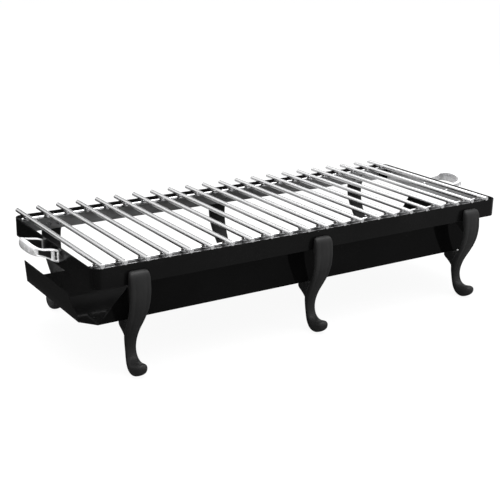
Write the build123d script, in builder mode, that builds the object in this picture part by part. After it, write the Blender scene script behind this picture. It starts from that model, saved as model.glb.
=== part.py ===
"""Buffet charbroiler grill: a low steel frame on cabriole legs, with a loose
chromed rod grate on top and a slide-out fuel shelf hung on lugs below it.

Millimetres, +Z up.  X runs along the length, Y from the front to the rear.
The origin is on the table surface, under the centre of the frame.
"""

from build123d import *
from math import cos, radians, sin
import os

os.makedirs("parts", exist_ok=True)

# ---------------------------------------------------------------- dimensions
LENGTH = 764.0          # outside length of the frame band
DEPTH = 302.0           # outside depth of the frame band
TOP = 168.0             # height of the band's top edge above the table
WALL = 30.0             # height of the band
SHEET = 2.0             # band thickness
CORNER = 14.0           # outside corner radius of the band

RAIL_T = 1.0            # stainless lining thickness
RAIL_DROP = 4.0         # the lining stops this far below the band's top edge
RAIL_SHELF = 22.0       # width of the ledge that the grate's wires lie on

ROD_D = 7.0
ROD_COUNT = 22
ROD_PITCH = 34.44
ROD_FRONT = -153.0      # front tips of the rods
ROD_REAR = 167.0        # rear tips of the rods
GRATE_SHIFT = -7.0      # the loose grate lies this far off centre
WIRE_D = 4.0
WIRE_Y = 130.0
WIRE_OVER = 7.0         # how far a wire runs past the end rods

LEG_X = 316.0           # end legs; the third pair stands at the centre
LEG_HALF = 17.6         # greatest half width of a leg
LEG_SPLAY = 3.5         # how far an end leg's foot stands further out than its top
LUG_HALF = 7.0
LUG_TIP = 46.5          # how far the lug reaches inward from the band's face
SCREW_Z = 148.0         # leg screws
SCREW_PITCH = 18.0      # two screws side by side in each leg
LEG_SCREW_R = 2.5
HANDLE_SCREW_R = 2.0
CLEAR = 0.05            # radial clearance of a screw in its threaded hole

SHELF_Z = 75.0          # underside of the fuel shelf, on top of the lugs
SHELF_T = 1.2
SHELF_HALF = 383.5      # half length of the shelf's base
SHELF_FRONT = -122.5
SHELF_REAR = 112.0
SKIRT_TOP = 132.0
SKIRT_BASE_HALF = 364.0
SKIRT_TOP_HALF = 310.0
END_LEAN = 12.0         # outward lean of the end plates, degrees
END_HEIGHT = 41.0
END_BASE_HALF = 99.0
END_TOP_HALF = 83.0

HANDLE_Y = 29.3         # the two feet of a handle
HANDLE_Z = 153.5

FACE = DEPTH / 2        # outer face of the long walls
END = LENGTH / 2        # outer face of the end walls
BASE = TOP - WALL       # lower edge of the band
RAIL_TOP = TOP - RAIL_DROP
LEG_CENTRES = (-LEG_X, 0.0, LEG_X)
SCREW_XS = [x + s * SCREW_PITCH / 2 for x in LEG_CENTRES for s in (-1, 1)]


def save(piece, name):
    piece.part.label = name
    export_step(piece.part, "parts/" + name + ".step")


# ---------------------------------------------------------------- frame band
with BuildPart() as frame_band:
    with BuildSketch(Plane.XY.offset(BASE)):
        RectangleRounded(LENGTH, DEPTH, CORNER)
        RectangleRounded(
            LENGTH - 2 * SHEET, DEPTH - 2 * SHEET, CORNER - SHEET, mode=Mode.SUBTRACT
        )
    extrude(amount=WALL)
    fillet(frame_band.faces().sort_by(Axis.Z)[-1].edges(), 0.7)
    fillet(frame_band.faces().sort_by(Axis.Z)[0].edges(), 0.7)
    # clearance holes for the leg screws, straight through both long walls
    with BuildSketch(Plane.XZ.offset(-FACE - 5)):
        with Locations(*[(x, SCREW_Z) for x in SCREW_XS]):
            Circle(LEG_SCREW_R + 0.25)
    extrude(amount=DEPTH + 10, mode=Mode.SUBTRACT)
    # clearance holes for the handle screws, through both end walls
    with BuildSketch(Plane.YZ.offset(-END - 5)):
        with Locations((-HANDLE_Y, HANDLE_Z), (HANDLE_Y, HANDLE_Z)):
            Circle(HANDLE_SCREW_R + 0.25)
    extrude(amount=LENGTH + 10, mode=Mode.SUBTRACT)
save(frame_band, "frame_band")

# ------------------------------------------------- stainless lining, four pieces
inner_l = LENGTH - 2 * SHEET
inner_d = DEPTH - 2 * SHEET
inner_r = CORNER - SHEET
straight_x = LENGTH / 2 - CORNER - 1.0
straight_y = DEPTH / 2 - CORNER - 1.0

for name, side in (("support_rail_front", -1), ("support_rail_rear", 1)):
    with BuildPart() as rail:
        # ledge, its ends rounded to follow the band's corners
        with BuildSketch(Plane.XY.offset(RAIL_TOP - RAIL_T)):
            RectangleRounded(inner_l, inner_d, inner_r)
            with Locations((0, -side * RAIL_SHELF)):
                Rectangle(inner_l + 20, inner_d, mode=Mode.SUBTRACT)
            with Locations((-inner_l / 2, 0), (inner_l / 2, 0)):
                Rectangle(2 * RAIL_T + 0.6, inner_d + 20, mode=Mode.SUBTRACT)
        extrude(amount=RAIL_T)
        # web against the long wall
        with BuildSketch(Plane.XY.offset(BASE)):
            with Locations((0, side * (inner_d / 2 - RAIL_T / 2))):
                Rectangle(2 * straight_x, RAIL_T)
        extrude(amount=RAIL_TOP - BASE)
        with BuildSketch(Plane.XZ.offset(-FACE - 5)):
            with Locations(*[(x, SCREW_Z) for x in SCREW_XS]):
                Circle(LEG_SCREW_R + 0.25)
        extrude(amount=DEPTH + 10, mode=Mode.SUBTRACT)
    save(rail, name)

for name, side in (("end_lining_left", -1), ("end_lining_right", 1)):
    with BuildPart() as lining:
        with BuildSketch(Plane.XY.offset(BASE)):
            with Locations((side * (inner_l / 2 - RAIL_T / 2), 0)):
                Rectangle(RAIL_T, 2 * straight_y)
        extrude(amount=RAIL_TOP - BASE)
        with BuildSketch(Plane.YZ.offset(-END - 5)):
            with Locations((-HANDLE_Y, HANDLE_Z), (HANDLE_Y, HANDLE_Z)):
                Circle(HANDLE_SCREW_R + 0.25)
        extrude(amount=LENGTH + 10, mode=Mode.SUBTRACT)
    save(lining, name)

# ---------------------------------------------------------------- loose grate
rod_z = TOP + ROD_D / 2
rod_xs = [
    GRATE_SHIFT + (i - (ROD_COUNT - 1) / 2) * ROD_PITCH for i in range(ROD_COUNT)
]
with BuildPart() as grate_rods:
    with BuildSketch(Plane.XZ.offset(-ROD_REAR)):
        with Locations(*[(x, rod_z) for x in rod_xs]):
            Circle(ROD_D / 2)
    extrude(amount=ROD_REAR - ROD_FRONT)
    chamfer(grate_rods.edges().filter_by(GeomType.CIRCLE), 0.5)
save(grate_rods, "grate_rods")

wire_half = (ROD_COUNT - 1) / 2 * ROD_PITCH + WIRE_OVER
for name, side in (("grate_wire_front", -1), ("grate_wire_rear", 1)):
    with BuildPart() as wire:
        with BuildSketch(Plane.YZ.offset(GRATE_SHIFT - wire_half)):
            with Locations((side * WIRE_Y, TOP - WIRE_D / 2)):
                Circle(WIRE_D / 2)
        extrude(amount=2 * wire_half)
        chamfer(wire.edges().filter_by(GeomType.CIRCLE), 0.4)
    save(wire, name)

# ---------------------------------------------------------------- cabriole legs
# side profile as (distance outward from the band's face, height)
LEG_OUTER = [
    (4.0, 157.6), (8.0, 155.8), (10.6, 151.2), (12.0, 144.0), (12.8, 136.0),
    (13.0, 127.0), (12.2, 115.5), (9.4, 103.0), (4.8, 90.5), (-1.6, 78.0),
    (-8.2, 65.5), (-13.2, 53.0), (-15.6, 41.0), (-15.4, 30.0), (-12.2, 22.6),
    (-5.6, 19.0), (3.4, 19.2), (12.2, 21.0), (18.2, 19.6), (20.4, 14.6),
    (18.4, 8.8), (12.0, 3.8), (3.6, 0.0),
]
LEG_INNER = [
    (-7.0, 0.0), (-13.8, 4.2), (-18.8, 10.5), (-22.2, 19.0), (-25.2, 29.0),
    (-27.4, 40.0), (-28.2, 50.0), (-26.4, 59.0), (-21.2, 67.8), (-12.4, 79.0),
    (-4.8, 90.0), (0.4, 101.5), (2.8, 113.0), (3.0, 123.0), (2.0, 131.0),
    (0.0, 136.5),
]
# half width of the leg seen from the front, from the top down
LEG_WIDTH = [
    (11.2, 158.2), (15.4, 156.6), (17.1, 153.2), (17.6, 147.0), (17.6, 138.0),
    (17.5, 122.0), (17.0, 108.0), (15.8, 95.0), (13.8, 80.0), (11.5, 66.0),
    (9.6, 54.0), (8.4, 42.0), (8.1, 30.0), (9.4, 20.0), (10.4, 10.0), (8.6, 0.0),
]
# the lug's hooked top leaves a small notch between it and the leg
LUG = [
    (-25.0, SHELF_Z), (-LUG_TIP, SHELF_Z), (-LUG_TIP, 63.5), (-43.5, 60.5),
    (-37.0, 57.0), (-27.0, 50.0), (-18.0, 58.0), (-19.0, 66.0), (-24.0, 67.5),
]


def splay(side, z):
    """Sideways shift of a leg's centre line at height z."""
    return side * LEG_SPLAY * max(0.0, 1 - z / 140) ** 1.2


leg_names = {
    ("front", -LEG_X): "leg_front_left",
    ("front", 0.0): "leg_front_middle",
    ("front", LEG_X): "leg_front_right",
    ("rear", -LEG_X): "leg_rear_left",
    ("rear", 0.0): "leg_rear_middle",
    ("rear", LEG_X): "leg_rear_right",
}
for (row, x0), name in leg_names.items():
    out = -1 if row == "front" else 1
    side = 0 if x0 == 0 else x0 / abs(x0)
    with BuildPart() as leg:
        with BuildSketch(Plane.YZ.offset(x0 - LEG_HALF - LEG_SPLAY)):
            with BuildLine():
                outer = Spline(*[(out * (FACE + u), z) for u, z in LEG_OUTER])
                inner = Spline(*[(out * (FACE + u), z) for u, z in LEG_INNER])
                Line(outer @ 1, inner @ 0)
                Polyline(inner @ 1, (out * FACE, 157.6), outer @ 0)
            make_face()
        extrude(amount=2 * (LEG_HALF + LEG_SPLAY))
        # the front view trims the block to its tapering, slightly splayed width
        with BuildSketch(Plane.XZ.offset(-260)):
            with BuildLine():
                left = Spline(*[(x0 + splay(side, z) - w, z) for w, z in LEG_WIDTH])
                right = Spline(*[(x0 + splay(side, z) + w, z) for w, z in LEG_WIDTH])
                Line(left @ 0, right @ 0)
                Line(left @ 1, right @ 1)
            make_face()
        extrude(amount=520, mode=Mode.INTERSECT)
        # lug that carries the fuel shelf
        with BuildSketch(Plane.YZ.offset(x0 + splay(side, 60) - LUG_HALF)):
            Polygon(*[(out * (FACE + u), z) for u, z in LUG], align=None)
        extrude(amount=2 * LUG_HALF)
        # blind threaded holes behind the band
        with BuildSketch(Plane.XZ.offset(-out * FACE)):
            with Locations(
                (x0 - SCREW_PITCH / 2, SCREW_Z), (x0 + SCREW_PITCH / 2, SCREW_Z)
            ):
                Circle(LEG_SCREW_R + CLEAR)
        extrude(amount=-out * 8.6, mode=Mode.SUBTRACT)
    save(leg, name)

# ---------------------------------------------------------------- leg screws
with BuildPart() as leg_screws:
    for out in (-1, 1):
        seat = out * (FACE - SHEET - RAIL_T)    # face of the lining
        with BuildSketch(Plane.XZ.offset(-seat)):
            with Locations(*[(x, SCREW_Z) for x in SCREW_XS]):
                Circle(4.6)
        extrude(amount=out * 2.8)
        with BuildSketch(Plane.XZ.offset(-seat)):
            with Locations(*[(x, SCREW_Z) for x in SCREW_XS]):
                Circle(LEG_SCREW_R)
        extrude(amount=-out * (SHEET + RAIL_T + 8.0))
    heads = (
        leg_screws.edges()
        .filter_by(GeomType.CIRCLE)
        .filter_by(lambda e: abs(abs(e.center().Y) - (FACE - SHEET - RAIL_T - 2.8)) < 0.01)
    )
    fillet(heads, 1.6)
    # cross recesses
    for out in (-1, 1):
        face = out * (FACE - SHEET - RAIL_T - 2.8)
        with BuildSketch(Plane.XZ.offset(-face)):
            with Locations(*[(x, SCREW_Z) for x in SCREW_XS]):
                Rectangle(4.8, 1.1)
                Rectangle(1.1, 4.8)
        extrude(amount=-out * 1.2, mode=Mode.SUBTRACT)
save(leg_screws, "leg_screws")

# ---------------------------------------------------------------- fuel shelf
# one folded sheet: base, front skirt and two end plates with open corners
clip_x, clip_y = 19.0, 24.0
with BuildPart() as fuel_shelf:
    with BuildSketch(Plane.XY.offset(SHELF_Z)):
        Polygon(
            (-SHELF_HALF, SHELF_FRONT + clip_y),
            (-SHELF_HALF + clip_x, SHELF_FRONT),
            (SHELF_HALF - clip_x, SHELF_FRONT),
            (SHELF_HALF, SHELF_FRONT + clip_y),
            (SHELF_HALF, END_BASE_HALF),
            (SHELF_HALF - 10, SHELF_REAR),
            (-SHELF_HALF + 10, SHELF_REAR),
            (-SHELF_HALF, END_BASE_HALF),
            align=None,
        )
    extrude(amount=SHELF_T)
    # front skirt, its ends cut on a slant
    with BuildSketch(Plane.XZ.offset(-SHELF_FRONT)):
        Polygon(
            (-SKIRT_BASE_HALF, SHELF_Z),
            (SKIRT_BASE_HALF, SHELF_Z),
            (SKIRT_TOP_HALF, SKIRT_TOP),
            (-SKIRT_TOP_HALF, SKIRT_TOP),
            align=None,
        )
    extrude(amount=-SHELF_T)
    # end plates, leaning outward
    for side in (-1, 1):
        lean = radians(END_LEAN)
        plate = Plane(
            origin=(side * SHELF_HALF, 0, SHELF_Z),
            x_dir=(0, 1, 0),
            z_dir=(side * cos(lean), 0, -sin(lean)),
        )
        up = plate.y_dir.Z
        sgn = 1 if up > 0 else -1
        with BuildSketch(plate):
            Polygon(
                (-END_BASE_HALF, 0),
                (END_BASE_HALF, 0),
                (END_TOP_HALF, sgn * END_HEIGHT),
                (-END_TOP_HALF, sgn * END_HEIGHT),
                align=None,
            )
        extrude(amount=-SHELF_T)
save(fuel_shelf, "fuel_shelf")

# ---------------------------------------------------------------- handles
# half outlines of the bow in plan, as (distance from the wall, half width)
BOW_OUTER = [(-12, 33.2), (4, 33.4), (17, 33.8), (28, 32.6), (36.2, 27.0), (40.6, 15), (42, 0)]
BOW_INNER = [(-12, 25.6), (4, 25.6), (15, 25.6), (24, 24.4), (31, 19.8), (35.8, 11), (37.4, 0)]
# side view of the bow, top and bottom, as (distance from the wall, height)
BOW_TOP = [(-12, 162.0), (2, 162.6), (10, 165.4), (21, 166.8), (29, 170.4), (36, 175.2), (46, 178.0)]
BOW_BOTTOM = [(-12, 145.0), (3, 145.2), (9, 147.0), (18, 152.6), (27, 157.2), (37, 159.0), (46, 159.4)]
# crown of the grip seen from the end, as (half width, height)
BOW_CROWN = [(60, 162.0), (40, 164.8), (30, 169.2), (16, 174.0), (0, 176.0)]
with BuildPart() as handle_right:
    with BuildSketch(Plane.XY.offset(140)):
        with BuildLine():
            Spline(
                *[(END + d, w) for d, w in BOW_OUTER],
                *[(END + d, -w) for d, w in reversed(BOW_OUTER[:-1])],
            )
            Line((END - 12, 33.2), (END - 12, -33.2))
        make_face()
        with BuildLine():
            Spline(
                *[(END + d, w) for d, w in BOW_INNER],
                *[(END + d, -w) for d, w in reversed(BOW_INNER[:-1])],
            )
            Line((END - 12, 25.6), (END - 12, -25.6))
        make_face(mode=Mode.SUBTRACT)
    extrude(amount=40)
    with BuildSketch(Plane.XZ.offset(-60)):
        with BuildLine():
            top = Spline(*[(END + d, z) for d, z in BOW_TOP])
            bottom = Spline(*[(END + d, z) for d, z in BOW_BOTTOM])
            Line(top @ 0, bottom @ 0)
            Line(top @ 1, bottom @ 1)
        make_face()
    extrude(amount=120, mode=Mode.INTERSECT)
    with BuildSketch(Plane.YZ.offset(END - 20)):
        with BuildLine():
            Spline(*[(-w, z) for w, z in BOW_CROWN], *[(w, z) for w, z in reversed(BOW_CROWN[:-1])])
            Polyline((60, 162.0), (60, 130), (-60, 130), (-60, 162.0))
        make_face()
    extrude(amount=80, mode=Mode.INTERSECT)
    # trim flush with the end wall, then add the two feet
    with BuildSketch(Plane.YZ.offset(END)):
        with Locations((0, HANDLE_Z)):
            Rectangle(120, 80)
    extrude(amount=-40, mode=Mode.SUBTRACT)
    with BuildSketch(Plane.YZ.offset(END)):
        with Locations((-HANDLE_Y, HANDLE_Z), (HANDLE_Y, HANDLE_Z)):
            RectangleRounded(12, 19, 3)
    extrude(amount=2.5)
    with BuildSketch(Plane.YZ.offset(END)):
        with Locations((-HANDLE_Y, HANDLE_Z), (HANDLE_Y, HANDLE_Z)):
            Circle(HANDLE_SCREW_R + CLEAR)
    extrude(amount=6.5, mode=Mode.SUBTRACT)
save(handle_right, "handle_right")

with BuildPart() as handle_left:
    mirror(handle_right.part, about=Plane.YZ)
save(handle_left, "handle_left")

# ---------------------------------------------------------------- handle screws
with BuildPart() as handle_screws:
    for out in (-1, 1):
        seat = out * (END - SHEET - RAIL_T)
        with BuildSketch(Plane.YZ.offset(seat)):
            with Locations((-HANDLE_Y, HANDLE_Z), (HANDLE_Y, HANDLE_Z)):
                Circle(3.9)
        extrude(amount=-out * 2.4)
        with BuildSketch(Plane.YZ.offset(seat)):
            with Locations((-HANDLE_Y, HANDLE_Z), (HANDLE_Y, HANDLE_Z)):
                Circle(HANDLE_SCREW_R)
        extrude(amount=out * (SHEET + RAIL_T + 6.0))
    heads = (
        handle_screws.edges()
        .filter_by(GeomType.CIRCLE)
        .filter_by(lambda e: abs(abs(e.center().X) - (END - SHEET - RAIL_T - 2.4)) < 0.01)
    )
    fillet(heads, 1.4)
    for out in (-1, 1):
        face = out * (END - SHEET - RAIL_T - 2.4)
        with BuildSketch(Plane.YZ.offset(face)):
            with Locations((-HANDLE_Y, HANDLE_Z), (HANDLE_Y, HANDLE_Z)):
                Rectangle(4.0, 1.0)
                Rectangle(1.0, 4.0)
        extrude(amount=out * 1.1, mode=Mode.SUBTRACT)
save(handle_screws, "handle_screws")
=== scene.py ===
# A long, low charcoal grill: an enamelled band around a fuel shelf and a rod grate, on
# six cabriole legs, with a bow handle at each end. It stands on z = 0, its length along X
# and its front toward -Y. Metres, except where a table or a section says millimetres.
import math
from math import cos, radians, sin

import bmesh
import bpy
from mathutils import Matrix, Vector, noise


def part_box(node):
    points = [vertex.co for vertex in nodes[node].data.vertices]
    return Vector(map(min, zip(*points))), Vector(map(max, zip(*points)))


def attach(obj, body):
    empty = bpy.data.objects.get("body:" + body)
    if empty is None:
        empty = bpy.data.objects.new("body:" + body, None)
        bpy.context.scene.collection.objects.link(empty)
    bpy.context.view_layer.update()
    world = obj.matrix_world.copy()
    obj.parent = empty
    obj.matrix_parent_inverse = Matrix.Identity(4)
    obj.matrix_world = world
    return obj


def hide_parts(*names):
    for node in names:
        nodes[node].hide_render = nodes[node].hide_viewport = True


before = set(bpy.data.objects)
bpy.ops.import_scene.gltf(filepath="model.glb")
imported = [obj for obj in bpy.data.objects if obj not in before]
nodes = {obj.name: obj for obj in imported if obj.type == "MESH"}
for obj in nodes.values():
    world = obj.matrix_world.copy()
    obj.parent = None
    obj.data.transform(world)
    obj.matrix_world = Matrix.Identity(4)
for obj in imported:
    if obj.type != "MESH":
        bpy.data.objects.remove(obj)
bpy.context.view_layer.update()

scene = bpy.context.scene
MM = 0.001


# ------------------------------------------------------------------ mesh helpers
def new_object(name, bm):
    bmesh.ops.recalc_face_normals(bm, faces=bm.faces[:])
    mesh = bpy.data.meshes.new(name)
    bm.to_mesh(mesh)
    bm.free()
    ob = bpy.data.objects.new(name, mesh)
    scene.collection.objects.link(ob)
    return ob


def bake_modifiers(ob):
    """Replace the object's mesh with its modified mesh."""
    depsgraph = bpy.context.evaluated_depsgraph_get()
    depsgraph.update()
    mesh = bpy.data.meshes.new_from_object(ob.evaluated_get(depsgraph), depsgraph=depsgraph)
    ob.modifiers.clear()
    old = ob.data
    ob.data = mesh
    mesh.name = ob.name
    bpy.data.meshes.remove(old)


def subdivide(ob, levels):
    ob.modifiers.new("Subdivision", "SUBSURF").levels = levels
    bake_modifiers(ob)


def smooth(ob, sharp_angle=None):
    """Shade smooth, keeping edges above sharp_angle (degrees) sharp."""
    for polygon in ob.data.polygons:
        polygon.use_smooth = True
    if sharp_angle is None:
        return
    limit = radians(sharp_angle)
    bm = bmesh.new()
    bm.from_mesh(ob.data)
    for edge in bm.edges:
        edge.smooth = not (len(edge.link_faces) == 2 and edge.calc_face_angle(0.0) > limit)
    bm.to_mesh(ob.data)
    bm.free()


def bevel(ob, width, segments, angle=32):
    modifier = ob.modifiers.new("Edge_round", "BEVEL")
    modifier.width = width
    modifier.segments = segments
    modifier.limit_method = "ANGLE"
    modifier.angle_limit = radians(angle)
    modifier.harden_normals = False
    modifier.use_clamp_overlap = True


def loft(rings):
    """Quads between successive closed rings of points, with both ends capped."""
    bm = bmesh.new()
    vert_rings = [[bm.verts.new(p) for p in ring] for ring in rings]
    count = len(vert_rings[0])
    for a, b in zip(vert_rings, vert_rings[1:]):
        for i in range(count):
            j = (i + 1) % count
            bm.faces.new((a[i], a[j], b[j], b[i]))
    # each cap is a smaller ring and a fan, so that it subdivides evenly
    for ring in (vert_rings[0], vert_rings[-1]):
        centre = Vector((0, 0, 0))
        for v in ring:
            centre += v.co
        centre /= count
        inner = [bm.verts.new(centre.lerp(v.co, 0.55)) for v in ring]
        hub = bm.verts.new(centre)
        for i in range(count):
            j = (i + 1) % count
            bm.faces.new((ring[i], ring[j], inner[j], inner[i]))
            bm.faces.new((inner[i], inner[j], hub))
    return bm


# ------------------------------------------------------------------ node helpers
class Nodes:
    """Builds the node tree of a material or a world."""

    def __init__(self, owner, output_kind):
        owner.use_nodes = True
        self.owner = owner
        self.tree = owner.node_tree
        self.tree.nodes.clear()
        self.out = self.node(output_kind)

    def node(self, kind, *inputs, **settings):
        """A node with its settings, and its first inputs filled in order."""
        node = self.tree.nodes.new("ShaderNode" + kind)
        for key, value in settings.items():
            setattr(node, key, value)
        for socket, value in zip(node.inputs, inputs):
            self.put(socket, value)
        return node

    def put(self, socket, value):
        if isinstance(value, bpy.types.NodeSocket):
            self.tree.links.new(value, socket)
        else:
            socket.default_value = value

    def shader(self, kind, *inputs):
        return self.node(kind, *inputs).outputs[0]

    def math(self, operation, a, b=0.0):
        return self.node("Math", a, b, operation=operation).outputs[0]

    def add(self, a, b):
        return self.math("ADD", a, b)

    def mul(self, a, b):
        return self.math("MULTIPLY", a, b)

    def along(self, x, y, direction):
        """Distance of (x, y) along a horizontal direction."""
        return self.add(self.mul(x, direction[0]), self.mul(y, direction[1]))

    def length(self, x, y):
        return self.math("SQRT", self.add(self.mul(x, x), self.mul(y, y)))

    def remap(self, source, between, to=(0.0, 1.0), **settings):
        node = self.node("MapRange", source, *between, *to, clamp=True, **settings)
        return node.outputs[0]

    def axes(self, vector):
        return self.node("SeparateXYZ", vector).outputs

    def geometry(self, output):
        return self.node("NewGeometry").outputs[output]

    def split_view(self, seen, hidden):
        """Show one shader to the camera and the other to every other ray."""
        is_camera = self.node("LightPath").outputs["Is Camera Ray"]
        self.put(self.out.inputs[0], self.shader("MixShader", is_camera, hidden, seen))


class Surface(Nodes):
    """A Principled material patterned in object coordinates."""

    SOCKETS = {
        "color": "Base Color", "metal": "Metallic", "rough": "Roughness",
        "specular": "Specular IOR Level", "normal": "Normal", "aniso": "Anisotropic",
    }

    def __init__(self, name):
        super().__init__(bpy.data.materials.new(name), "OutputMaterial")
        self.coords = self.node("TexCoord").outputs["Object"]

    def noise(self, scale, detail=4.0, rough=0.55, stretch=(1, 1, 1), shift=0.0):
        mapping = self.node("Mapping", self.coords)
        mapping.inputs["Scale"].default_value = stretch
        mapping.inputs["Location"].default_value = (shift, shift * 0.7, -shift * 0.4)
        texture = self.node("TexNoise")
        self.put(texture.inputs["Vector"], mapping.outputs[0])
        texture.inputs["Scale"].default_value = scale
        texture.inputs["Detail"].default_value = detail
        texture.inputs["Roughness"].default_value = rough
        return texture.outputs[0]

    def ramp(self, source, low, high):
        """Black below low, white above high."""
        ramp = self.node("ValToRGB", source)
        stops = ((low, (0, 0, 0, 1)), (high, (1, 1, 1, 1)))
        for element, (position, color) in zip(ramp.color_ramp.elements, stops):
            element.position = position
            element.color = color
        return ramp.outputs[0]

    def mix(self, factor, a, b):
        node = self.node("Mix", data_type="RGBA")
        for index, value in ((0, factor), (6, a), (7, b)):
            self.put(node.inputs[index], value)
        return node.outputs[2]

    def bump(self, height, strength, distance, normal=None):
        node = self.node("Bump")
        node.inputs["Strength"].default_value = strength
        node.inputs["Distance"].default_value = distance
        self.put(node.inputs["Height"], height)
        if normal is not None:
            self.put(node.inputs["Normal"], normal)
        return node.outputs[0]

    def edge(self, radius, between):
        """1 along edges, where the rounded normal leaves the true one."""
        rounded = self.node("Bevel", samples=4)
        rounded.inputs["Radius"].default_value = radius
        dot = self.node(
            "VectorMath", rounded.outputs[0], self.geometry("Normal"), operation="DOT_PRODUCT"
        )
        return self.remap(dot.outputs["Value"], between, to=(1.0, 0.0))

    def up(self):
        return self.axes(self.geometry("Normal"))[2]

    def finish(self, **values):
        principled = self.node("BsdfPrincipled")
        for key, value in values.items():
            self.put(principled.inputs[self.SOCKETS[key]], value)
        self.put(self.out.inputs[0], principled.outputs[0])
        return self.owner


def grey(value):
    """A very slightly blue grey."""
    return (value, value, value * 1.01, 1.0)


# --------------------------------------------------------------------- materials
MIDDLE = (0.3, 0.7)  # the usual span of a noise's values


def enamel(name, base, specular, rough, peel, dust, edge_tone):
    """Baked enamel on sheet steel: slight orange peel, faint dust and thin edges."""
    m = Surface(name)
    smear = m.noise(scale=26.0, detail=5.0, rough=0.6, stretch=(1.0, 0.35, 3.0), shift=3.1)
    specks = m.mul(
        m.ramp(m.noise(scale=1500.0, detail=1.0, rough=0.4, shift=1.7), low=0.70, high=0.76),
        m.ramp(m.noise(scale=30.0, detail=2.0, shift=8.0), low=0.45, high=0.7),
    )
    clouds = m.noise(scale=9.0, detail=3.0)
    col = m.mix(m.remap(clouds, MIDDLE), grey(base * 0.8), grey(base * 1.25))
    dusty = m.mul(m.remap(smear, (0.5, 0.85)), m.remap(m.up(), (0.2, 1.0), to=(0.25, 1.0)))
    col = m.mix(m.mul(dusty, dust), col, grey(0.16))
    col = m.mix(m.mul(specks, 0.35), col, grey(0.12))
    breaks = m.remap(m.noise(scale=160.0, shift=5.0), (0.35, 0.62), to=(0.25, 1.0))
    rim = m.mul(m.edge(radius=0.0009, between=(0.80, 0.97)), breaks)
    col = m.mix(m.mul(rim, 0.8), col, grey(edge_tone))
    fine = m.noise(scale=420.0, detail=2.0, rough=0.5)
    normal = m.bump(fine, strength=peel, distance=0.0004)
    waves = m.noise(scale=60.0, detail=2.0, shift=2.0)
    normal = m.bump(waves, strength=peel * 0.8, distance=0.0008, normal=normal)
    # less gloss on faces that lie flat
    gloss = m.remap(m.up(), (0.4, 0.9), to=(specular, specular * 0.12))
    rough = m.remap(smear, (0.3, 0.75), to=rough)
    return m.finish(color=col, rough=rough, specular=gloss, normal=normal, metal=0.0)


def cast_iron():
    """Satin powder coat over a sand casting."""
    m = Surface("leg_powder_coat")
    grain = m.noise(scale=900.0, detail=3.0)
    cast = m.noise(scale=150.0, rough=0.6, shift=4.0)
    clouds = m.noise(scale=18.0, shift=1.0)
    col = m.mix(m.remap(clouds, MIDDLE), grey(0.0185), grey(0.0265))
    col = m.mix(m.remap(grain, (0.62, 0.80), to=(0.0, 0.5)), col, grey(0.05))
    breaks = m.remap(m.noise(scale=220.0, shift=9.0), (0.40, 0.64))
    worn = m.mul(m.edge(radius=0.0022, between=(0.90, 0.985)), breaks)
    col = m.mix(m.mul(worn, 0.55), col, grey(0.085))
    # paler patches on the lowest 20 mm
    near_floor = m.remap(m.axes(m.coords)[2], (0.0, 0.02), to=(1.0, 0.0))
    low = m.mul(near_floor, m.remap(cast, (0.4, 0.7)))
    col = m.mix(m.mul(low, 0.30), col, grey(0.09))
    rough = m.remap(m.noise(scale=70.0, shift=6.0), MIDDLE, to=(0.40, 0.52))
    normal = m.bump(grain, strength=0.22, distance=0.0003)
    normal = m.bump(cast, strength=0.20, distance=0.0009, normal=normal)
    return m.finish(color=col, rough=rough, specular=0.15, normal=normal, metal=0.0)


def brushed(name, base, stretch, rough, ledge_shade=0.5):
    """Brushed stainless sheet with smears; the last argument is how far painted shade darkens
    flat faces.
    """
    m = Surface(name)
    lines = m.noise(scale=38.0, detail=6.0, rough=0.7, stretch=stretch)
    wide_stretch = tuple(max(1.0, s * 0.12) for s in stretch)
    wide = m.noise(scale=9.0, detail=3.0, rough=0.5, stretch=wide_stretch, shift=2.0)
    smear = m.noise(scale=14.0, detail=5.0, rough=0.6, shift=7.0)
    straw = (base * 0.80, base * 0.76, base * 0.69, 1)
    col = m.mix(m.remap(lines, MIDDLE), grey(base * 0.80), grey(base * 1.10))
    col = m.mix(m.remap(wide, (0.40, 0.72), to=(0.0, 0.45)), col, grey(base * 0.62))
    col = m.mix(m.remap(smear, (0.56, 0.80), to=(0.0, 0.35)), col, straw)
    rough = m.add(
        m.remap(lines, (0.25, 0.75), to=rough), m.remap(smear, (0.5, 0.8), to=(0.0, 0.12))
    )
    # flat ledges are smoother than upright webs, and painted shade makes them darker
    flat = m.remap(m.up(), (0.5, 0.9))
    rough = m.mul(rough, m.remap(flat, (0.0, 1.0), to=(1.0, 0.55)))
    col = m.mix(m.mul(flat, ledge_shade), col, grey(base * (0.90 - 0.56 * ledge_shade)))
    normal = m.bump(lines, strength=0.20, distance=0.00012)
    waves = m.noise(scale=7.0, detail=2.0, shift=3.0)
    normal = m.bump(waves, strength=0.25, distance=0.0016, normal=normal)
    metal = m.remap(flat, (0.0, 1.0), to=(0.72, 1.0))
    return m.finish(color=col, metal=metal, rough=rough, normal=normal, aniso=0.45)


def chrome():
    """Bright plate on round bar: drawn lines along the rod, small pits and smears."""
    m = Surface("grate_chrome")
    drawn = m.noise(scale=55.0, detail=5.0, rough=0.65, stretch=(40.0, 1.0, 40.0))
    pits = m.noise(scale=1300.0, detail=1.0, rough=0.4, shift=2.0)
    pits = m.ramp(pits, low=0.72, high=0.78)
    smear = m.noise(scale=22.0, rough=0.6, shift=5.0)
    col = m.mix(m.remap(drawn, MIDDLE), grey(0.80), grey(0.90))
    col = m.mix(m.mul(pits, 0.5), col, grey(0.30))
    col = m.mix(m.remap(smear, (0.55, 0.8), to=(0.0, 0.25)), col, (0.72, 0.69, 0.64, 1))
    rough = m.add(m.remap(smear, (0.3, 0.75), to=(0.20, 0.28)), m.mul(pits, 0.20))
    normal = m.bump(drawn, strength=0.05, distance=0.0001)
    return m.finish(color=col, metal=1.0, rough=rough, normal=normal)


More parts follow.
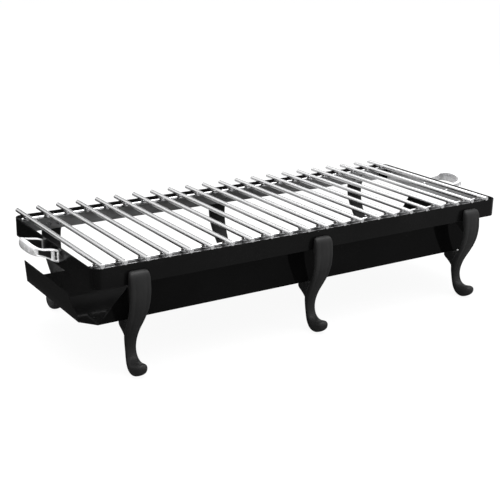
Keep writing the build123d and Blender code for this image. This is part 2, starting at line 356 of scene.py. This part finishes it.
def weld():
    """Dull plated weld, painted dark as the shadow where a rod crosses a wire: rippled, with
    a brownish tint.
    """
    m = Surface("grate_welds")
    ripple = m.noise(scale=700.0, rough=0.6)
    clouds = m.noise(scale=160.0, detail=3.0, rough=0.5, shift=2.0)
    col = m.mix(m.remap(clouds, (0.35, 0.7)), grey(0.085), (0.060, 0.052, 0.045, 1))
    col = m.mix(m.remap(ripple, (0.60, 0.78), to=(0.0, 0.6)), col, grey(0.26))
    rough = m.remap(ripple, MIDDLE, to=(0.34, 0.52))
    normal = m.bump(ripple, strength=0.35, distance=0.0003)
    return m.finish(color=col, metal=0.8, rough=rough, normal=normal)


def polished():
    """Polished stainless casting: soft buffing lines and fingerprints."""
    m = Surface("handle_polished")
    buff = m.noise(scale=60.0, detail=5.0, rough=0.65, stretch=(6.0, 1.0, 28.0))
    cloud = m.noise(scale=45.0, shift=3.0)
    fine = m.noise(scale=1100.0, detail=2.0, rough=0.5, shift=1.0)
    col = m.mix(m.remap(buff, MIDDLE), grey(0.80), grey(0.92))
    col = m.mix(m.remap(cloud, (0.55, 0.8), to=(0.0, 0.25)), col, grey(0.66))
    rough = m.add(
        m.remap(cloud, MIDDLE, to=(0.20, 0.30)), m.remap(fine, (0.5, 0.8), to=(0.0, 0.05))
    )
    normal = m.bump(buff, strength=0.10, distance=0.00015)
    normal = m.bump(cloud, strength=0.10, distance=0.0006, normal=normal)
    return m.finish(color=col, metal=0.38, rough=rough, normal=normal)


def recess_shade():
    """Unpolished casting skin, painted near-black as the shade at the bottom of a recess."""
    m = Surface("handle_recess")
    grain = m.noise(scale=1100.0, detail=3.0)
    clouds = m.noise(scale=120.0, detail=3.0, rough=0.5, shift=2.0)
    col = m.mix(m.remap(clouds, MIDDLE), grey(0.007), grey(0.015))
    col = m.mix(m.remap(grain, (0.62, 0.80), to=(0.0, 0.5)), col, grey(0.05))
    rough = m.remap(grain, MIDDLE, to=(0.42, 0.60))
    normal = m.bump(grain, strength=0.3, distance=0.0002)
    return m.finish(color=col, metal=0.4, rough=rough, normal=normal)


def zinc():
    """Zinc plate with a fine spangle and bright edges."""
    m = Surface("screw_zinc")
    spangle = m.node("TexVoronoi")
    m.put(spangle.inputs["Vector"], m.coords)
    spangle.inputs["Scale"].default_value = 900.0
    fine = m.noise(scale=1600.0, detail=3.0, rough=0.5)
    col = m.mix(m.remap(spangle.outputs[0], (0.1, 0.7)), grey(0.62), grey(0.82))
    col = m.mix(m.edge(radius=0.0006, between=(0.85, 0.97)), col, grey(0.9))
    rough = m.remap(fine, MIDDLE, to=(0.18, 0.34))
    normal = m.bump(fine, strength=0.15, distance=0.0001)
    return m.finish(color=col, metal=1.0, rough=rough, normal=normal)


BRUSHED_X = (1.0, 60.0, 60.0)
BRUSHED_Y = (60.0, 1.0, 60.0)

band_mat = enamel(
    "black_enamel", base=0.0042, specular=0.12, rough=(0.16, 0.26),
    peel=0.05, dust=0.030, edge_tone=0.022,
)
shelf_mat = enamel(
    "shelf_gloss_enamel", base=0.0036, specular=0.07, rough=(0.030, 0.065),
    peel=0.018, dust=0.008, edge_tone=0.018,
)
leg_mat = cast_iron()
lining_x = brushed("lining_brushed_x", base=0.62, stretch=BRUSHED_X, rough=(0.28, 0.42))
# the front rail's ledge carries more painted shade
lining_front = brushed(
    "lining_brushed_front", base=0.62, stretch=BRUSHED_X, rough=(0.28, 0.42), ledge_shade=0.92
)
lining_y = brushed("lining_brushed_y", base=0.60, stretch=BRUSHED_Y, rough=(0.22, 0.36))
chrome_mat = chrome()
weld_shade_mat = weld()
handle_mat = polished()
recess_shade_mat = recess_shade()
screw_mat = zinc()


def paint(ob, mat):
    ob.data.materials.clear()
    ob.data.materials.append(mat)


# ---------------------------------------------------------- CAD pieces that stay
CAD_MATERIALS = {
    "frame_band": band_mat,
    "fuel_shelf": shelf_mat,
    "support_rail_front": lining_front,
    "support_rail_rear": lining_x,
    "end_lining_left": lining_y,
    "end_lining_right": lining_y,
    "grate_rods": chrome_mat,
    "grate_wire_front": chrome_mat,
    "grate_wire_rear": chrome_mat,
    "leg_screws": screw_mat,
    "handle_screws": screw_mat,
}
for name, mat in CAD_MATERIALS.items():
    ob = nodes[name]
    if ob.material_slots:
        for slot in ob.material_slots:
            slot.link = "OBJECT"
            slot.material = mat
    else:
        ob.data.materials.append(mat)
bevel(nodes["fuel_shelf"], width=0.0005, segments=2)

# ------------------------------------------------------- legs (in millimetres)
FACE_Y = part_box("frame_band")[1].y / MM  # outer face of the long walls
SHELF_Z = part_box("fuel_shelf")[0].z / MM
LEG_X = 316.0  # left and right legs, from the middle one
SPLAY = 3.5  # how far an end leg's foot leans outward
SPLAY_TOP = 140
PAD_BACK_Z = 137.6  # above this the leg's back lies flat on the band
LUG_HALF = 7.0
LUG_SPLAY_Z = 60  # the height whose splay places the lug

# (outer u, outer z, inner u, inner z, half width, flute depth) from the top down;
# u is the distance outward from the band's face
LEG_STATIONS = [
    (2.6, 157.9, 0.0, 157.9, 9.5, 0.0),
    (5.4, 157.3, 0.0, 157.4, 12.8, 0.0),
    (8.0, 155.7, 0.0, 156.2, 14.8, 0.1),
    (10.3, 152.6, 0.0, 153.4, 16.1, 0.35),
    (11.8, 147.6, 0.0, 148.4, 16.6, 0.7),
    (12.8, 141.6, 0.0, 142.2, 16.7, 1.0),
    (13.4, 135.6, 0.4, 136.6, 16.7, 1.15),
    (13.6, 129.0, 2.4, 130.4, 16.6, 1.2),
    (13.4, 122.4, 2.9, 123.2, 16.4, 1.2),
    (12.7, 115.8, 2.7, 115.4, 16.1, 1.2),
    (11.5, 109.4, 2.0, 108.2, 15.8, 1.2),
    (9.8, 103.2, 0.4, 101.6, 15.5, 1.2),
    (7.6, 97.0, -2.1, 95.6, 15.0, 1.15),
    (5.0, 90.8, -5.0, 90.0, 14.4, 1.1),
    (2.0, 84.4, -8.5, 84.4, 13.7, 1.05),
    (-1.4, 78.0, -12.5, 78.9, 13.0, 1.0),
    (-4.8, 71.8, -16.8, 73.1, 12.2, 0.95),
    (-8.0, 65.6, -21.2, 67.5, 11.3, 0.85),
    (-10.8, 59.3, -25.1, 61.6, 10.6, 0.75),
    (-13.0, 53.0, -27.7, 54.8, 9.9, 0.65),
    (-14.7, 47.0, -28.5, 48.0, 9.2, 0.55),
    (-15.6, 41.0, -28.1, 41.2, 8.7, 0.45),
    (-15.9, 35.6, -26.9, 34.6, 8.4, 0.35),
    (-15.4, 30.6, -25.4, 28.2, 8.4, 0.3),
    (-14.1, 26.2, -23.8, 22.2, 8.6, 0.2),
    (-12.0, 22.8, -21.9, 16.4, 9.1, 0.1),
    (-9.0, 20.4, -19.3, 10.6, 9.7, 0.0),
    (-5.2, 19.2, -15.4, 5.0, 10.3, 0.0),
    (-0.8, 18.8, -10.6, 1.0, 10.8, 0.0),
    (3.9, 19.4, -4.7, -1.2, 11.0, 0.0),
    (8.6, 20.6, 2.0, -1.4, 11.0, 0.0),
    (12.8, 21.5, 7.4, 0.6, 10.6, 0.0),
    (16.3, 21.2, 12.2, 3.2, 9.6, 0.0),
    (18.9, 19.4, 16.0, 6.2, 7.8, 0.0),
    (20.2, 16.4, 18.9, 9.8, 4.8, 0.0),
]
# where a section's points lie across it, as fractions of the half width
OUTER_LEFT = (-1.0, -0.95, -0.86, -0.75, -0.65, -0.56, -0.47, -0.37, -0.24, -0.1)
OUTER_FRACTIONS = OUTER_LEFT + tuple(-f for f in reversed(OUTER_LEFT))
INNER_FRACTIONS = (0.94, 0.75, 0.45, 0.15, -0.15, -0.45, -0.75, -0.94)

# (u, z) outline of the lug behind a leg, under the shelf
LUG_OUTLINE = [
    (-24.6, SHELF_Z), (-46.5, SHELF_Z), (-46.5, 63.5), (-43.5, 60.5), (-37.0, 57.0),
    (-31.6, 53.4), (-26.6, 48.8), (-21.0, 49.6), (-17.6, 56.0), (-18.0, 65.0),
    (-20.0, 67.0), (-23.6, 67.6),
]


def splay(side, z):
    return side * SPLAY * max(0.0, 1 - max(z, 0.0) / SPLAY_TOP) ** 1.2


def superellipse(fraction, power):
    return max(0.0, 1 - abs(fraction) ** power) ** (1 / power)


def leg_ring(station, side):
    """One section's points (x, u, z): along the outer side, then back along the inner."""
    outer_u, outer_z, inner_u, inner_z, half_width, flute = station
    half_depth = math.hypot(outer_u - inner_u, outer_z - inner_z) / 2
    is_pad = outer_z > 134
    # boxy at the top, oval at the ankle
    power = 2.5 + 2.1 * min(1.0, max(0.0, (outer_z - 34.0) / 70.0))
    points = []  # (fraction across, depth from -1 inside to 1 outside)
    for f in OUTER_FRACTIONS:
        depth = superellipse(f, power)
        if is_pad:
            depth = -0.15 + 1.15 * depth
        groove = math.exp(-(((abs(f) - 0.52) / 0.15) ** 2))
        points.append((f, depth - 0.55 * flute / max(half_depth, 1) * groove))
    for f in INNER_FRACTIONS:
        points.append((f, -superellipse(f, 6.0 if is_pad else 2.6)))
    ring = []
    for f, depth in points:
        inward = (1 - depth) / 2
        u = outer_u + (inner_u - outer_u) * inward
        z = outer_z + (inner_z - outer_z) * inward
        ring.append(Vector((f * half_width + splay(side, z), u, z)))
    return ring


def make_lug(side):
    bm = bmesh.new()
    centre = splay(side, LUG_SPLAY_Z)
    a = [bm.verts.new((centre - LUG_HALF, u, z)) for u, z in LUG_OUTLINE]
    b = [bm.verts.new((centre + LUG_HALF, u, z)) for u, z in LUG_OUTLINE]
    bm.faces.new(a)
    bm.faces.new(list(reversed(b)))
    for i in range(len(a)):
        j = (i + 1) % len(a)
        bm.faces.new((a[j], a[i], b[i], b[j]))
    lug = new_object("lug_form", bm)
    bevel(lug, width=1.3, segments=3, angle=20)
    bake_modifiers(lug)
    return lug


def make_leg(side):
    """A master leg with u along +Y, centred on x = 0."""
    leg = new_object("leg_form", loft([leg_ring(station, side) for station in LEG_STATIONS]))
    subdivide(leg, 2)
    # flatten the sole on the floor and the pad on the band
    for v in leg.data.vertices:
        if v.co.z < 0.0:
            v.co.z = 0.0
        if v.co.z > PAD_BACK_Z and v.co.y < 0.0:
            v.co.y = 0.0
    lug = make_lug(side)
    join = leg.modifiers.new("Join", "BOOLEAN")
    join.operation = "UNION"
    join.object = lug
    join.solver = "EXACT"
    bake_modifiers(leg)
    bpy.data.objects.remove(lug)
    return leg


def place_leg(master, name, middle_x, outward):
    """A copy of a master leg, in metres, on the wall that faces outward (-1 or 1) in Y."""
    mesh = master.data.copy()
    mesh.name = name
    for v in mesh.vertices:
        x, u, z = v.co
        v.co = ((middle_x + x) * MM, outward * (FACE_Y + u) * MM, z * MM)
    # the front row is a mirror image of the masters
    if outward < 0:
        mesh.flip_normals()
    leg = bpy.data.objects.new(name, mesh)
    scene.collection.objects.link(leg)
    return leg


for label, side in (("left", -1), ("middle", 0), ("right", 1)):
    master = make_leg(side)
    for row, outward in (("front", -1), ("rear", 1)):
        leg = place_leg(master, f"cabriole_leg_{row}_{label}", side * LEG_X, outward)
        smooth(leg, sharp_angle=50)
        paint(leg, leg_mat)
        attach(leg, "frame")
        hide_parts(f"leg_{row}_{label}")
    bpy.data.objects.remove(master)

# ---------------------------------------------------- handles (in millimetres)
END_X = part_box("frame_band")[1].x / MM  # outer face of the end walls
BOW_CENTRE = 12  # a distance from the wall that lies inside the bow

# half of the bow, from the wall to the middle of the grip:
# (distance from wall, y, top, bottom, half thickness, recess, crown)
BOW = [
    (0.0, 29.6, 162.8, 144.8, 4.2, 0.0, 0.0),
    (1.0, 29.6, 162.9, 144.9, 4.2, 0.2, 0.0),
    (2.2, 29.6, 163.1, 145.1, 4.0, 2.6, 0.0),
    (5.6, 29.7, 164.5, 145.9, 3.9, 2.7, 0.0),
    (6.8, 29.8, 165.0, 146.5, 3.9, 0.3, 0.0),
    (9.4, 29.9, 165.4, 147.8, 3.9, 0.3, 0.0),
    (10.6, 29.9, 165.7, 148.6, 3.9, 2.7, 0.0),
    (15.6, 30.0, 166.4, 151.6, 3.8, 2.8, 0.0),
    (21.0, 30.0, 167.2, 154.6, 3.6, 2.8, 0.0),
    (25.8, 29.6, 168.4, 156.7, 3.3, 2.4, 0.0),
    (29.2, 28.6, 169.8, 157.6, 3.1, 1.9, 0.0),
    (30.8, 27.7, 170.6, 157.9, 2.9, 0.0, 0.7),
    (33.2, 25.3, 171.8, 158.3, 2.6, 0.0, 1.2),
    (35.4, 20.6, 173.4, 158.7, 2.4, 0.0, 1.7),
    (36.8, 14.2, 174.8, 159.0, 2.2, 0.0, 2.1),
    (37.4, 7.2, 175.6, 159.1, 2.1, 0.0, 2.3),
    (37.5, 0.0, 175.9, 159.1, 2.1, 0.0, 2.3),
]
BOW_PATH = BOW + [(d, -y, *rest) for d, y, *rest in reversed(BOW[:-1])]
DISTANCE, ACROSS, RECESS = 0, 1, 5  # columns of the bow table
OUTER_FACES = range(5, 9)  # faces around a section: the middle of its outer side
INNER_FACES = range(16, 20)  # and its inner side


def bow_section(top, bottom, half, recess, crown):
    """(outward, z) points around the bar, from the inner top edge over to the outer side."""
    middle = (top + bottom) / 2
    height = top - bottom
    lip = half + crown * 0.35 - recess * 0.04
    shoulder = half + crown * 0.6 - recess
    cheek = half + crown * 0.85 - recess
    return [
        (-half + 0.9, top), (half - 0.9, top), (half - 0.15, top - 0.25), (half, top - 0.9),
        (lip, top - 1.9), (shoulder, top - 2.5), (cheek, top - height * 0.30),
        (half + crown - recess, middle),
        (cheek, bottom + height * 0.30), (shoulder, bottom + 2.3), (lip, bottom + 1.7),
        (half, bottom + 0.9), (half - 0.15, bottom + 0.25), (half - 0.9, bottom),
        (-half + 0.9, bottom), (-half + 0.15, bottom + 0.25), (-half, bottom + 0.9),
        (-half + crown * 0.3, bottom + height * 0.3), (-half + crown * 0.45, middle),
        (-half + crown * 0.3, top - height * 0.3),
        (-half, top - 0.9), (-half + 0.15, top - 0.25),
    ]


def bow_outward(i):
    """The horizontal normal of the bow's path at station i."""
    last = len(BOW_PATH) - 1
    before = BOW_PATH[max(i - 1, 0)]
    after = BOW_PATH[min(i + 1, last)]
    tangent = Vector((after[DISTANCE] - before[DISTANCE], after[ACROSS] - before[ACROSS], 0))
    if i in (0, last):
        # square to the wall
        tangent = Vector((1 if i == 0 else -1, 0, 0))
    tangent.normalize()
    normal = Vector((-tangent.y, tangent.x, 0))
    distance, y = BOW_PATH[i][:2]
    return -normal if normal.dot(Vector((distance - BOW_CENTRE, y, 0))) < 0 else normal


def make_handle(name, side):
    rings = []
    for i, (distance, y, *shape) in enumerate(BOW_PATH):
        outward = bow_outward(i)
        ring = []
        for offset, z in bow_section(*shape):
            q = Vector((distance, y, 0)) + outward * offset
            ring.append(Vector((side * (END_X + max(q.x, 0.0)) * MM, q.y * MM, z * MM)))
        rings.append(ring)
    bm = loft(rings)
    bm.faces.ensure_lookup_table()
    count = len(rings[0])
    for i, (p, q) in enumerate(zip(BOW_PATH, BOW_PATH[1:])):
        painted_shade = []
        # painted shade in the recesses: all of them on the left handle, only the rear arm's
        # on the right one
        if p[RECESS] > 1.5 and q[RECESS] > 1.5 and (side < 0 or p[ACROSS] > 0):
            painted_shade += OUTER_FACES
        # painted shade inside the left bow's arms too
        if side < 0 and 1.5 < p[DISTANCE] < 28.0 and 1.5 < q[DISTANCE] < 30.0:
            painted_shade += INNER_FACES
        for k in painted_shade:
            bm.faces[i * count + k].material_index = 1
    ob = new_object(name, bm)
    ob.data.materials.append(handle_mat)
    ob.data.materials.append(recess_shade_mat)
    subdivide(ob, 2)
    smooth(ob)
    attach(ob, "frame")
    return ob


for label, side in (("left", -1), ("right", 1)):
    handle = make_handle(f"bow_handle_{label}", side)
    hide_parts(f"handle_{label}")

# ------------------------------------------------------------------ grate welds
ROD_COUNT = 22
BEAD_OFFSET = 0.0027  # bead's centre from the rod's axis
BEAD_LIFT = 0.0001  # and above the wire's top
BEAD_X, BEAD_Y, BEAD_Z = 0.0023, 0.0022, 0.0014  # half sizes
BEAD_LEAN = 0.0004  # extra height on the side next to the rod
WOBBLE = 0.20
WOBBLE_SCALE = 1.7


def add_bead(bm, centre, rod, side):
    """A fillet on the wire, in the nook on one side of a rod."""
    for v in bmesh.ops.create_icosphere(bm, subdivisions=3, radius=1.0)["verts"]:
        x, y, z = v.co
        # shifted for each bead, so that no two are alike
        sample = Vector((
            x * WOBBLE_SCALE + rod * 3.1,
            y * WOBBLE_SCALE + centre.y * 50 + side,
            z * WOBBLE_SCALE,
        ))
        wobble = 1 + WOBBLE * noise.noise(sample)
        height = z * (BEAD_Z - BEAD_LEAN * side * x)
        v.co = centre + Vector((x * BEAD_X, y * BEAD_Y, height)) * wobble


rods_low, rods_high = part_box("grate_rods")
wires = [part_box("grate_wire_front"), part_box("grate_wire_rear")]
rod_radius = (rods_high.z - rods_low.z) / 2
pitch = (rods_high.x - rods_low.x - 2 * rod_radius) / (ROD_COUNT - 1)
bead_z = wires[0][1].z + BEAD_LIFT
bm = bmesh.new()
for low, high in wires:
    for rod in range(ROD_COUNT):
        rod_x = rods_low.x + rod_radius + rod * pitch
        for side in (-1, 1):
            centre = Vector((rod_x + side * BEAD_OFFSET, (low.y + high.y) / 2, bead_z))
            add_bead(bm, centre, rod, side)
welds = new_object("grate_weld_beads", bm)
smooth(welds)
# the beads carry painted shadow at each crossing
paint(welds, weld_shade_mat)
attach(welds, "grate")

# ------------------------------------------------------------------------- stage
WHITE = (1, 1, 1, 1)
REAR_RIGHT = (0.53, 0.85)  # horizontal directions
CAMERA_SIDE = (-0.56, -0.83)


def floor_material():
    """Pale to the camera; to other rays a glow of painted light, with painted shadow near the
    grill and painted shade at the front left.
    """
    m = Nodes(bpy.data.materials.new("studio_floor"), "OutputMaterial")
    x, y, _ = m.axes(m.geometry("Position"))
    # distance outside a rectangle around the grill
    past_x = m.math("MAXIMUM", m.math("SUBTRACT", m.math("ABSOLUTE", x), 0.38), 0.0)
    past_y = m.math("MAXIMUM", m.math("SUBTRACT", m.math("ABSOLUTE", y), 0.17), 0.0)
    # painted shadow: the glow dims close to the grill
    tone = m.remap(m.length(past_x, past_y), (0.02, 0.55), to=(0.03, 0.24))
    # distance from a spot of painted shade at the front left
    from_spot = m.length(m.add(x, 0.82), m.add(y, 0.44))
    tone = m.mul(tone, m.remap(from_spot, (0.20, 0.70), to=(0.10, 1.0)))
    # painted light toward the rear right
    tone = m.add(tone, m.remap(m.along(x, y, REAR_RIGHT), (0.25, 0.62), to=(0.0, 0.55)))
    # painted shade past the left end, most of all toward the rear
    left = m.remap(x, (-0.42, -0.34), to=(1.0, 0.0))
    painted_shade = m.mul(left, m.remap(y, (-0.32, 0.42), to=(0.45, 0.98)))
    clear = m.math("SUBTRACT", 1.0, painted_shade)
    hidden = m.shader(
        "AddShader",
        m.shader("Emission", WHITE, m.mul(tone, clear)),
        m.shader("BsdfDiffuse", m.mul(clear, 0.16)),
    )
    seen = m.shader(
        "AddShader",
        m.shader("Emission", WHITE, 0.93),
        m.shader("BsdfDiffuse", (0.09, 0.09, 0.09, 1)),
    )
    m.split_view(seen, hidden)
    return m.owner


bm = bmesh.new()
bmesh.ops.create_grid(bm, x_segments=8, y_segments=8, size=12.0)
floor = new_object("studio_floor", bm)
floor.location.z = -0.0002
floor.data.materials.append(floor_material())


def add_light(name, kind, location, target, glossy=False, **settings):
    data = bpy.data.lights.new(name, kind)
    for key, value in settings.items():
        setattr(data, key, value)
    light = bpy.data.objects.new(name, data)
    light.location = location
    direction = Vector(target) - Vector(location)
    light.rotation_euler = direction.to_track_quat("-Z", "Y").to_euler()
    light.visible_glossy = glossy
    scene.collection.objects.link(light)


add_light(
    "key_top", "AREA", location=(0.3, 0.2, 2.4), target=(0, 0, 0), glossy=True,
    energy=95, shape="RECTANGLE", size=3.2, size_y=2.4,
)
add_light(
    "fill_right", "AREA", location=(2.1, -2.0, 1.1), target=(0, 0, 0.1),
    energy=15, shape="RECTANGLE", size=1.6, size_y=1.6,
)
add_light(
    "fill_low", "AREA", location=(-0.7, -2.5, 0.32), target=(-0.2, 0, 0.05),
    energy=15, shape="RECTANGLE", size=1.8, size_y=0.5,
)
# a small soft spot on the left handle
add_light(
    "spot_handle", "SPOT", location=(-1.35, -0.9, 0.5), target=(-0.41, 0.0, 0.165),
    energy=112, spot_size=radians(7.5), spot_blend=0.6, shadow_soft_size=0.12,
)


def build_world():
    """A plain pale backdrop to the camera; a studio of bright and dark parts to the rest."""
    scene.world = bpy.data.worlds.new("studio_world")
    w = Nodes(scene.world, "OutputWorld")

    def blend(source, between, to):
        return w.remap(source, between, to, interpolation_type="SMOOTHSTEP")

    x, y, z = w.axes(w.node("TexCoord").outputs["Generated"])
    sky = blend(z, (-0.02, 0.40), to=(0.20, 1.12))
    # a bright sweep behind on the right, with a dark flat standing across it
    sweep = blend(w.along(x, y, REAR_RIGHT), (0.62, 0.82), to=(0.0, 1.0))
    sky = w.add(sky, w.mul(w.math("SUBTRACT", 0.90, sky), sweep))
    flat = w.mul(blend(z, (0.15, 0.24), to=(0.0, 1.0)), blend(z, (0.41, 0.50), to=(1.0, 0.0)))
    flat = w.math("SUBTRACT", 1.0, w.mul(w.mul(sweep, flat), 0.94))
    # the unlit side where the camera stands
    unlit = blend(w.along(x, y, CAMERA_SIDE), (0.45, 0.85), to=(1.0, 0.22))
    studio = w.shader("Background", w.mul(w.mul(sky, flat), unlit), 0.9)
    w.split_view(w.shader("Background", WHITE, 1.05), studio)


build_world()
scene.view_settings.view_transform = "Standard"
scene.view_settings.look = "None"

# ------------------------------------------------------------------------ camera
AZIMUTH, ELEVATION, ROLL = radians(-33.34), radians(18.15), radians(1.18)

camera_data = bpy.data.cameras.new("camera")
camera_data.sensor_width = 36.0
camera_data.lens = 71.46
camera = bpy.data.objects.new("camera", camera_data)
scene.collection.objects.link(camera)
back = Vector((
    sin(AZIMUTH) * cos(ELEVATION), -cos(AZIMUTH) * cos(ELEVATION), sin(ELEVATION),
))
level = (-back).cross(Vector((0, 0, 1))).normalized()
upright = level.cross(-back)
right = level * cos(ROLL) + upright * sin(ROLL)
up = -level * sin(ROLL) + upright * cos(ROLL)
pose = Matrix((right, up, back)).transposed().to_4x4()
pose.translation = Vector((-0.89575, -1.31368, 0.61272))
camera.matrix_world = pose
scene.camera = camera
